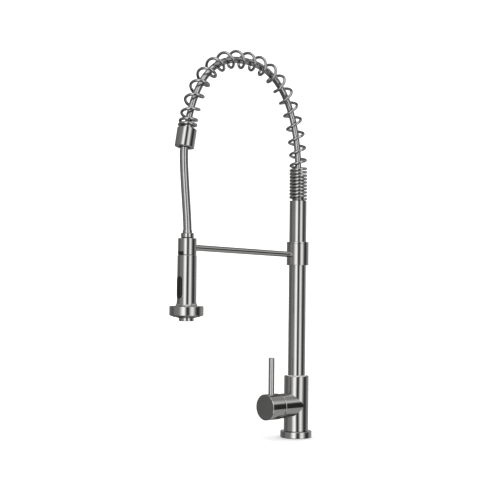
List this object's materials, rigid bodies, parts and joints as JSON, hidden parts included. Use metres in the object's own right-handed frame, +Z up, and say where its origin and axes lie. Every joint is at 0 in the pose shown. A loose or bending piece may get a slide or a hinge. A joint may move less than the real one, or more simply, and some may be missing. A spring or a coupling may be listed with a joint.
{
  "type": "pull-down kitchen faucet",
  "caption": "Tall single-hole kitchen faucet: column with a spring arch, docked pull-down spray head on a support arm, and a side lever mixer.",
  "frame": {"origin": "centre of the base flange's underside, on the deck, on the column's axis", "axes": "+Z up along the column; -Y the way the spout, the support arm and the handle hub point at rest; +X to the user's right when facing the sink from the spout's side"},
  "size_m": [0.0515, 0.2832, 0.6142],
  "materials": {
    "brushed_nickel": "brushed nickel, satin",
    "dark_steel": "machined steel",
    "brass": "turned brass",
    "acetal": "moulded acetal",
    "black_plastic": "black moulded plastic",
    "rubber": "black rubber",
    "hose_cover": "smooth grey hose cover, satin",
    "ceramic": "polished ceramic"
  },
  "bodies": {
    "base": {"base_flange": "brushed_nickel", "deck_gasket": "rubber", "valve_body": "brushed_nickel", "spout_bush": "acetal", "thrust_washer": "acetal", "spout_lock_screw": "dark_steel", "cartridge_seals": "rubber", "cartridge_base": "acetal", "ceramic_disc_fixed": "ceramic", "cartridge_case": "acetal", "retaining_nut": "brass"},
    "mixer": {"cartridge_rotor": "acetal", "stem_pin": "dark_steel"},
    "disc": {"ceramic_disc_moving": "ceramic", "disc_carrier": "acetal"},
    "handle": {"lever_stem": "dark_steel", "handle_cap": "brushed_nickel", "lever_rod": "brushed_nickel", "handle_set_screw": "dark_steel"},
    "spout": {"spout_spigot": "brass", "spigot_o_rings": "rubber", "column_tube": "brushed_nickel", "hose_connector": "brass", "spring_socket": "dark_steel", "arch_spring": "brushed_nickel", "spring_ferrule": "brushed_nickel", "hose_guide_bush": "black_plastic", "spray_hose_upper": "hose_cover", "spray_hose_drop": "hose_cover", "arm_collar": "brushed_nickel", "collar_cap": "brushed_nickel", "collar_liner": "black_plastic", "collar_set_screw": "dark_steel", "support_arm": "brushed_nickel", "dock_ring": "brushed_nickel", "dock_liner": "black_plastic", "dock_set_screw": "dark_steel"},
    "hose_end": {"hose_nut": "brushed_nickel", "hose_crimp": "brushed_nickel", "hose_tail": "brass", "tail_o_ring": "rubber"},
    "spray_head": {"head_neck": "dark_steel", "neck_o_ring": "rubber", "head_shell": "brushed_nickel", "head_inner_body": "acetal", "check_valve": "acetal", "inlet_screen": "dark_steel", "head_ring": "brushed_nickel", "spray_face": "dark_steel", "spray_nozzles": "rubber", "aerator_housing": "brushed_nickel", "aerator_screen": "black_plastic", "toggle_pin": "dark_steel"},
    "toggle": {"spray_toggle": "black_plastic"},
    "diverter": {"diverter_spool": "dark_steel"}
  },
  "joints": [
    {"name": "spout_swivel", "type": "hinge", "parent": "base", "child": "spout", "pos_m": [0, 0, 0.1], "axis": [0, 0, 1], "continuous": true},
    {"name": "mixer_turn", "type": "hinge", "parent": "base", "child": "mixer", "pos_m": [0, -0.03, 0.0521], "axis": [0, -1, 0], "range_deg": [-45, 45]},
    {"name": "lever_tilt", "type": "hinge", "parent": "mixer", "child": "handle", "pos_m": [0, -0.0225, 0.0521], "axis": [1, 0, 0], "range_deg": [0, 20]},
    {"name": "disc_slide", "type": "slide", "parent": "mixer", "child": "disc", "axis": [0, 0, 1], "range_m": [0, 0.002]},
    {"name": "head_pull", "type": "slide", "parent": "spout", "child": "hose_end", "axis": [0, 0, -1], "range_m": [0, 0.18], "stiffness_N_per_m": 20, "springref_m": -0.4, "deforming": ["spray_hose_drop"]},
    {"name": "head_spin", "type": "hinge", "parent": "hose_end", "child": "spray_head", "pos_m": [0, -0.232, 0.3], "axis": [0, 0, 1], "continuous": true},
    {"name": "toggle_rock", "type": "hinge", "parent": "spray_head", "child": "toggle", "pos_m": [0, -0.243, 0.242], "axis": [1, 0, 0], "range_deg": [-6, 6]},
    {"name": "spool_slide", "type": "slide", "parent": "spray_head", "child": "diverter", "axis": [0, 0, 1], "range_m": [-0.00076, 0.00076]}
  ],
  "couplings": [
    {"joint": "disc_slide", "follows": "lever_tilt", "m_per_rad": 0.0057},
    {"joint": "toggle_rock", "follows": "spool_slide", "rad_per_m": 137}
  ]
}
